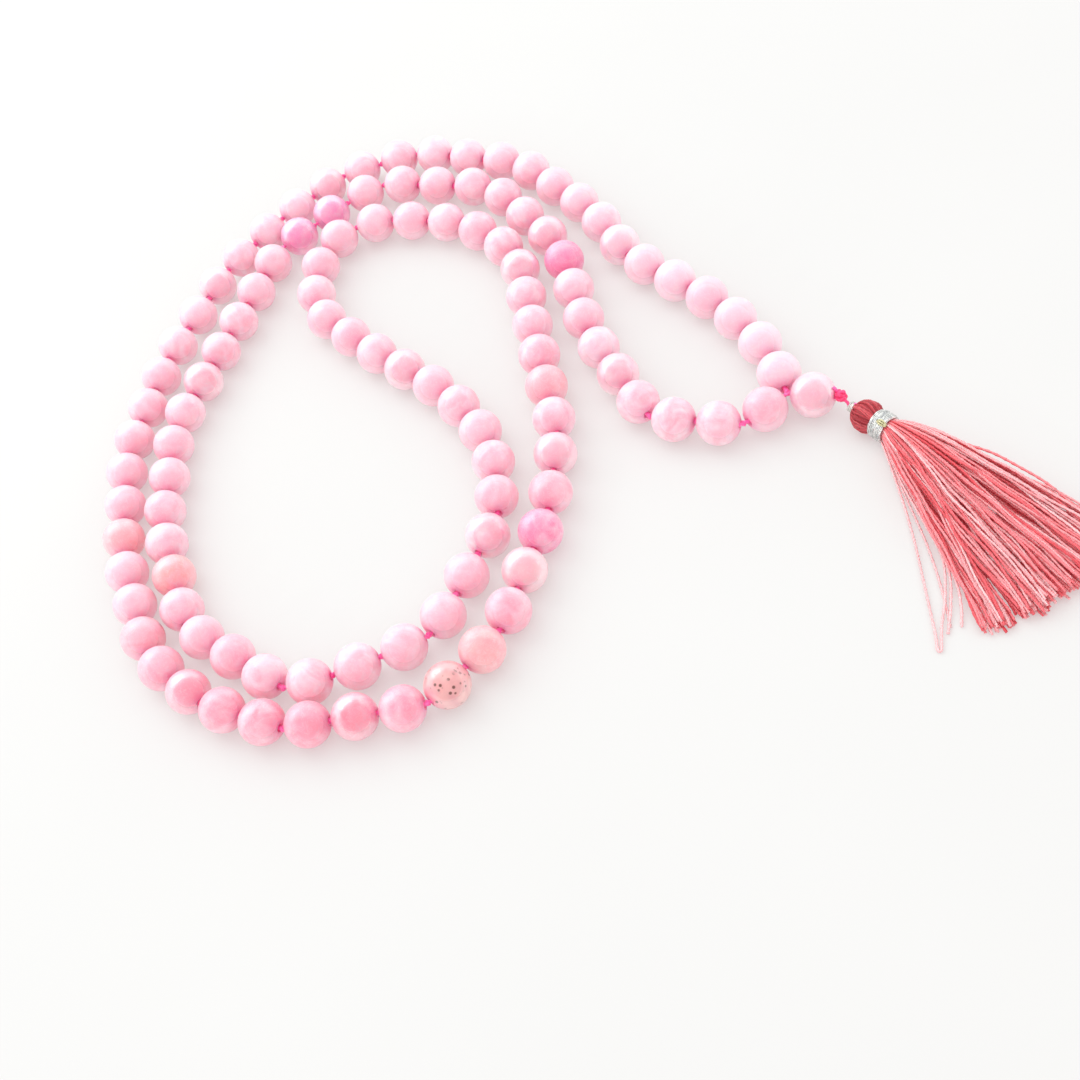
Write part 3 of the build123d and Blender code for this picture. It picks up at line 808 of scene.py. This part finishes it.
# ---------------------------------------------------------------------------
# Silver thread: the collar and the neck wrap
# ---------------------------------------------------------------------------
def wound(s0, s1, turns, r_in, wander, start, seed, steps=44):
    """A thread wound round the tassel's axis."""
    local = np.random.default_rng(seed)
    a = np.linspace(0, 2 * math.pi * turns, int(steps * turns) + 1)
    w = a / a[-1]
    s = s0 + (s1 - s0) * w
    for k in (1, 2, 3):
        s = s + wander * math.sin(k) * np.sin(a * 0.37 * k + local.uniform(0, 6))
    r = r_in + wander * 0.4 * np.sin(a * 1.7 + local.uniform(0, 6))
    return tassel_points(s, r * np.cos(a + start), TASSEL_Z + r * np.sin(a + start))


shell = Shell()
for k, (r, thick, turns) in enumerate(((0.66, 0.17, 4.4), (0.84, 0.16, 3.6))):
    p = wound(COLLAR_X0 - 0.50, COLLAR_X1 - 0.20, turns, r, 0.02, 1.0 + k * 2, 30 + k)
    v, quads, tris = tube(p, thick * MM, 8, np.linspace(0, 50, len(p)), 2, 0.25)
    shell.add(v, quads, tris, gold=0.12 * k)
obj = shell.make("collar_winding", SILVER)
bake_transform(obj)
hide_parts("tassel_collar")

shell = Shell()
# inner layer, outer layer and a few crossing turns
for k, (s0, s1, turns, r, thick) in enumerate((
    (WRAP_X0 - 0.35, WRAP_X1 - 0.14, 11.5, 2.30, 0.17),
    (WRAP_X1 - 0.22, WRAP_X0 - 0.20, 8.7, 2.46, 0.16),
    (WRAP_X0 + 0.2, WRAP_X1 - 0.5, 2.6, 2.57, 0.13),
)):
    p = wound(s0, s1, turns, r, 0.035, 0.7 + 1.9 * k, 40 + k)
    v, quads, tris = tube(p, thick * MM, 8, np.linspace(0, 34 * turns, len(p)), 2, 0.32)
    shell.add(v, quads, tris, gold=0.0)
# the tied end: a short pale gold loop of the same thread, on top of the neck
for k, (dt, lift) in enumerate(((-0.42, 0.0), (-0.05, 0.12), (0.30, 0.02))):
    w = np.linspace(0, 1, 18)
    a = 0.72 + 0.06 * k
    s = WRAP_X0 + 0.95 + 1.75 * w
    r = 2.56 + 0.30 * np.sin(math.pi * w) + lift * np.sin(math.pi * w) - 0.25 * w**3
    ang = math.pi / 2 + 0.42 + (dt * (0.35 + 0.65 * np.sin(math.pi * w))) / 2.6
    p = tassel_points(s, r * np.cos(ang), TASSEL_Z + r * np.sin(ang))
    v, quads, tris = tube(p, 0.20 * MM, 8, np.linspace(0, 14, 18), 2, 0.3)
    shell.add(v, quads, tris, gold=0.85)
obj = shell.make("neck_winding", SILVER)
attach(obj, "tassel")
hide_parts("tassel_neck_wrap")

# ---------------------------------------------------------------------------
# The head: threads folded over the stopper knot, laid side by side
# ---------------------------------------------------------------------------
shell = Shell()
HEAD_S = HEAD_X - 0.40           # the thread ball sits a little forward of its stopper knot
head_rng = np.random.default_rng(21)
N_HEAD = 64
for k in range(N_HEAD):
    a0 = 2 * math.pi * (k + head_rng.uniform(-0.25, 0.25)) / N_HEAD
    w = np.linspace(0, 1, 34)
    phi = 0.17 + (2.40 - 0.17) * w                       # angle from the front pole to the neck
    r_ball = 2.78 + head_rng.uniform(-0.05, 0.05) + 0.03 * np.sin(w * 9 + head_rng.uniform(0, 6))
    s = HEAD_S - r_ball * np.cos(phi)
    r = r_ball * np.sin(phi)
    neck_in = np.clip((phi - 1.95) / 0.45, 0, 1)
    r = r * (1 - neck_in) + 1.95 * neck_in
    s = s + 0.55 * neck_in
    a = a0 + 0.16 * np.sin(w * 2.4 + head_rng.uniform(0, 6)) * np.sin(math.pi * w)
    p = tassel_points(s, r * np.cos(a), TASSEL_Z + r * np.sin(a))
    thick = 0.175 * np.clip(0.30 + 1.1 * np.sin(phi), 0.35, 1.0)
    v, quads, tris = tube(p, thick * MM, 6, np.linspace(0, 22, 34) + head_rng.uniform(0, 6), 2, 0.25)
    ply = np.concatenate([np.tile([1, 0.4, 0.4, 1, 0.4, 0.4], 34), [1, 1]])
    shell.add(v, quads, tris, tone=head_rng.beta(2, 2.6), ply=ply)
# the imported core under them, coloured dark as painted shade in the gaps between the threads
ph = np.linspace(0.20, math.pi - 0.5, 26)
p_s, p_r = HEAD_S - 2.62 * np.cos(ph), 2.62 * np.sin(ph)
a = np.linspace(0, 2 * math.pi, 40, endpoint=False)
core = tassel_points(p_s[:, None] + 0 * a, p_r[:, None] * np.cos(a), TASSEL_Z + p_r[:, None] * np.sin(a)).reshape(-1, 3)
i, kk = np.meshgrid(np.arange(25), np.arange(40), indexing="ij")
k2 = (kk + 1) % 40
quads = np.stack([i * 40 + kk, i * 40 + k2, (i + 1) * 40 + k2, (i + 1) * 40 + kk], axis=-1).reshape(-1, 4)
core = np.concatenate([core, [tassel_point(HEAD_S - 2.4)], [tassel_point(HEAD_S + 2.3)]])
c0, c1 = 26 * 40, 26 * 40 + 1
k = np.arange(40)
tris = np.concatenate([np.stack([(k + 1) % 40, k, np.full(40, c0)], 1), np.stack([25 * 40 + k, 25 * 40 + (k + 1) % 40, np.full(40, c1)], 1)])
shell.add(core, quads, tris, tone=0.1, ply=1.0)
obj = shell.make("head_threads", HEAD_SILK)
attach(obj, "tassel")
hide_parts("tassel_head")

# ---------------------------------------------------------------------------
# The fringe: every thread is modelled, from inside the neck winding to its cut end
# ---------------------------------------------------------------------------
fr = np.random.default_rng(4242)
N_THREADS = 250
THREAD_R = 0.27
golden = math.pi * (3 - math.sqrt(5))
idx = np.arange(N_THREADS)
disc_r = 1.95 * np.sqrt((idx + 0.5) / N_THREADS)
disc_t, disc_h = disc_r * np.cos(idx * golden), disc_r * np.sin(idx * golden)
rank = np.argsort(np.argsort(disc_t)) / (N_THREADS - 1) * 2 - 1          # -1 left of the photo, 1 right
half_chord = np.sqrt(np.maximum(1.95**2 - disc_t**2, 0.1))
level = np.clip(disc_h / half_chord, -1, 1)                              # -1 underneath, 1 on top

START = 9.45


def thread_line(u, lvl, t0, h0, length, wave, turn_end, n=104):
    """One thread: out of the winding, over its edge, and fanned out down to the surface."""
    w = np.linspace(0, 1, n)
    right, left = max(u, 0.0), max(-u, 0.0)
    ang = math.radians(-8.5 + 17.0 * right - 18.5 * left)
    thick = np.interp(u, [-1, -0.7, -0.1, 1], [0.9, 1.6, 2.8, 3.1])
    z_end = 0.30 + (lvl + 1) / 2 * thick
    a_start = math.radians(-8.5 + 34.5 * right**1.15 - 22.0 * left)
    a_stop = ang - math.radians(3.0 * right + 1.5 * left - turn_end)
    s_edge, t_edge, h_edge = WRAP_X1 + 0.1, t0 * 1.04, h0 * 1.04
    s1 = WRAP_X1 + length * math.cos(ang)
    t1 = length * math.sin(ang) + t_edge * 0.5
    # cubic from the winding's edge to the cut end
    c0 = np.array([s_edge, t_edge, TASSEL_Z + h_edge])
    c3 = np.array([s1, t1, z_end])
    lift = 0.09 + 0.13 * max(lvl, 0) + 0.03 * right
    c1 = c0 + np.array([math.cos(a_start), math.sin(a_start), lift * (lvl + 0.1)]) * length * 0.215
    c2 = c3 - np.array([math.cos(a_stop), math.sin(a_stop), 0.0]) * length * 0.36
    c1[2] = max(c1[2], 0.5 + (lvl + 1) * 1.1)
    c2[2] = z_end + 0.45 + 0.35 * (lvl + 1) / 2
    w = w[:, None]
    p = c0 * (1 - w) ** 3 + 3 * c1 * w * (1 - w) ** 2 + 3 * c2 * w**2 * (1 - w) + c3 * w**3
    k1, k2, k3 = wave
    grow = np.clip(w[:, 0] * 2.2, 0, 1)
    cross = k1 * np.sin(w[:, 0] * (7 + 4 * k2) + k3) * grow + 0.10 * np.sin(w[:, 0] * 26 + 5 * k3) * grow
    p[:, 0] += -math.sin(ang) * cross
    p[:, 1] += math.cos(ang) * cross
    p[:, 2] += (0.08 * np.sin(w[:, 0] * 19 + 3 * k3)) * grow
    p[:, 2] = np.maximum(p[:, 2], THREAD_R + 0.03)
    inner = np.array([[START, t0, TASSEL_Z + h0], [START + 0.7, t0, TASSEL_Z + h0]])
    p = np.concatenate([inner, p])
    return tassel_points(p[:, 0], p[:, 1], p[:, 2])


def thread_mesh(shell, p, thickness, tone_value, phase):
    steps = np.concatenate([[0], np.cumsum(np.linalg.norm(np.diff(p, axis=0), axis=1))]) / MM
    neck = np.interp(steps, [0, 2.4, 10, 99], [0.62, 0.66, 1.0, 1.0])
    v, quads, tris = tube(p, thickness * neck * MM, 6, steps / 3.2 * 2 * math.pi + phase, 2, 0.26)
    ply = np.concatenate([np.tile([1, 0.25, 0.25, 1, 0.25, 0.25], len(p)), [0.6, 0.6]])
    shell.add(v, quads, tris, tone=tone_value, ply=ply)


shells = [Shell(), Shell()]
for k in range(N_THREADS):
    u, lvl = rank[k], level[k]
    # threads stick together in small locks, with gaps between the locks
    clump = 0.042 * math.sin(u * 30 + lvl * 2.2) + 0.016 * math.sin(u * 71 + lvl * 5)
    loose = fr.uniform() < 0.12 and lvl > 0.1
    u2 = np.clip(u + clump + fr.normal(0, 0.025 if not loose else (0.11 if u < 0.6 else 0.04)), -1.02, 1.02)
    lvl2 = np.clip(lvl + fr.normal(0, 0.10) + (0.25 if loose else 0), -1, 1.12)
    length = 41.7 + fr.normal(0, 0.55) + 0.5 * max(u, 0) - 1.5 * float(np.interp(u, [-1, -0.4], [1, 0]))
    lock = math.floor(u * 15 + lvl * 1.1)
    same = np.random.default_rng(900 + int(lock) % 97)
    k1, k2, k3 = same.normal(0, 0.34), same.uniform(), same.uniform(0, 6)
    wave = (k1 + fr.normal(0, 0.10 if not loose else (0.5 if u < 0.6 else 0.15)), k2, k3 + fr.normal(0, 0.25))
    p = thread_line(u2, lvl2, disc_t[k], disc_h[k], length, wave, fr.normal(0, 1.2))
    # painted light: threads higher in the bundle get a paler tone, lower ones a deeper one
    painted_top_light = 0.5 + 0.18 * lvl
    thread_mesh(shells[0 if lvl > 0 else 1], p, THREAD_R * fr.uniform(0.90, 1.08), float(np.clip(fr.beta(3, 2.6) * 0.8 + 0.2 * painted_top_light, 0, 1)), fr.uniform(0, 6))
# an under-layer of threads whose deep tone is painted shade, shown in the gaps between the locks
under = np.random.default_rng(77)
for k in range(30):
    u, lvl = -0.86 + 1.80 * (k + under.uniform(0.2, 0.8)) / 30, under.uniform(-0.95, -0.35)
    p = thread_line(u, lvl, 1.8 * u, -0.9, 40.6 + under.normal(0, 0.6), (under.normal(0, 0.15), under.uniform(), under.uniform(0, 6)), under.normal(0, 0.8), 78)
    thread_mesh(shells[1], p, THREAD_R * 1.12, under.uniform(0.0, 0.25), under.uniform(0, 6))
# loose threads at the left, apart from the rest: one uncut loop, and two single ones
def smooth_line(stations, n):
    """A smooth line through (s, t, z) stations, in metres."""
    q = np.array(stations, float)
    q = np.concatenate([2 * q[:1] - q[1:2], q, 2 * q[-1:] - q[-2:-1]])
    out = []
    for i in range(1, len(q) - 2):
        w = np.linspace(0, 1, n, endpoint=i == len(q) - 3)[:, None]
        out.append(0.5 * (2 * q[i] + (q[i + 1] - q[i - 1]) * w + (2 * q[i - 1] - 5 * q[i] + 4 * q[i + 1] - q[i + 2]) * w**2
                          + (3 * q[i] - q[i - 1] - 3 * q[i + 1] + q[i + 2]) * w**3))
    q = np.concatenate(out)
    return tassel_points(q[:, 0], q[:, 1], q[:, 2])


LOOSE = (
    ((9.5, -1.70, 2.7), (11.0, -2.35, 2.2), (14.2, -4.2, 1.5), (20.6, -8.3, 0.9), (27.5, -13.2, 0.6), (35.6, -19.6, 0.42),
     (41.6, -24.4, 0.36), (43.7, -26.3, 0.36), (44.3, -26.2, 0.36), (43.7, -25.4, 0.40), (41.6, -22.9, 0.5), (38.4, -18.4, 0.7),
     (33.6, -13.4, 0.95), (26.8, -10.0, 1.3), (19.6, -6.7, 1.6), (11.2, -2.2, 1.6), (9.5, -1.6, 2.0)),
    ((9.5, -1.3, 1.6), (11.2, -1.9, 1.5), (20.0, -6.4, 1.5), (29.0, -10.7, 1.3), (35.9, -14.6, 1.0), (40.2, -19.2, 0.6), (43.1, -23.2, 0.32)),
    ((9.5, -1.2, 2.4), (11.2, -1.8, 2.3), (20.0, -6.2, 2.2), (30.0, -11.0, 1.6), (38.0, -15.4, 1.0), (41.6, -18.4, 0.6), (43.8, -20.9, 0.32)),
    ((9.5, -1.5, 1.3), (11.2, -2.1, 1.2), (20.0, -7.2, 0.9), (29.6, -12.6, 0.6), (37.0, -17.6, 0.4), (42.6, -22.0, 0.3)),
)
for stations in LOOSE:
    p = smooth_line(stations, 16)
    steps = np.concatenate([[0], np.cumsum(np.linalg.norm(np.diff(p, axis=0), axis=1))]) / MM
    both = np.minimum(steps, steps[-1] - steps) if len(stations) > 12 else steps
    neck = np.interp(both, [0, 2.4, 10, 99], [0.62, 0.66, 1.0, 1.0])
    v, quads, tris = tube(p, THREAD_R * neck * MM, 6, steps / 3.2 * 2 * math.pi, 2, 0.26)
    ply = np.concatenate([np.tile([1, 0.25, 0.25, 1, 0.25, 0.25], len(p)), [0.6, 0.6]])
    shells[0].add(v, quads, tris, tone=0.95, ply=ply)
for k, (shell, label) in enumerate(zip(shells, ("fringe_threads_upper", "fringe_threads_lower"))):
    obj = shell.make(label, THREAD)
    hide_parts("tassel_fringe", "tassel_bound_threads")
    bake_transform(obj)

# ---------------------------------------------------------------------------
# Floor and light
# ---------------------------------------------------------------------------
def floor_material():
    m = Nodes("paper_floor")
    near = m.ramp(m.noise(9, 3), (0.3, (0.309, 0.366, 0.354)), (0.7, (0.321, 0.378, 0.366)))
    # the paper runs into a paler backdrop, well outside the photograph
    away = m.tree.nodes.new("ShaderNodeVectorMath")
    away.operation = "LENGTH"
    m.join(m.coord, away.inputs[0])
    far = m.ramp(away.outputs["Value"], (0.42, (0.0,)), (1.0, (1.0,)))
    colour = m.mix(far, near, (0.86, 0.857, 0.852))
    # a thin translucent sheet, lit a little from below
    m.set(Base_Color=colour, Roughness=0.62, Specular_IOR_Level=0.25, Emission_Color=(1.0, 0.820, 0.832), Emission_Strength=0.47)
    m.bump(m.noise(1500, 2), 0.00002, 0.15)
    return m.mat


half, cells = 3.0, 12
g = np.linspace(-half, half, cells + 1)
gx, gy = np.meshgrid(g, g, indexing="ij")
shell = Shell()
i, k = np.meshgrid(np.arange(cells), np.arange(cells), indexing="ij")
w = cells + 1
quads = np.stack([i * w + k, (i + 1) * w + k, (i + 1) * w + k + 1, i * w + k + 1], axis=-1).reshape(-1, 4)
shell.add(np.stack([gx.ravel(), gy.ravel(), np.full(w * w, -0.00002)], axis=1), quads)
floor = shell.make("paper_floor", floor_material())

world = bpy.data.worlds.new("studio")
bpy.context.scene.world = world
world.use_nodes = True
world.node_tree.nodes["Background"].inputs["Color"].default_value = (1.0, 0.995, 0.995, 1)
world.node_tree.nodes["Background"].inputs["Strength"].default_value = 1.20


def area(name, at, look, size, watts, colour=(1, 1, 1)):
    data = bpy.data.lights.new(name, "AREA")
    data.shape = "DISK"
    data.size = size
    data.energy = watts
    data.color = colour
    obj = bpy.data.objects.new(name, data)
    obj.location = at
    obj.rotation_mode = "QUATERNION"
    obj.rotation_quaternion = (Vector(look) - Vector(at)).to_track_quat("-Z", "Y")
    bpy.context.scene.collection.objects.link(obj)


area("window_behind", (-0.26, 0.40, 0.50), (0.0, 0.0, 0.0), 0.62, 1.7)
area("overhead", (0.10, 0.05, 0.95), (0.0, 0.0, 0.0), 0.9, 1.2)
area("lamp_front_left", (-0.66, -0.38, 0.30), (0.0, 0.0, 0.0), 0.05, 0.30)

bpy.context.scene.view_settings.view_transform = "Standard"
bpy.context.scene.view_settings.look = "None"
bpy.context.scene.view_settings.exposure = 0.0
bpy.context.scene.view_settings.gamma = 1.0
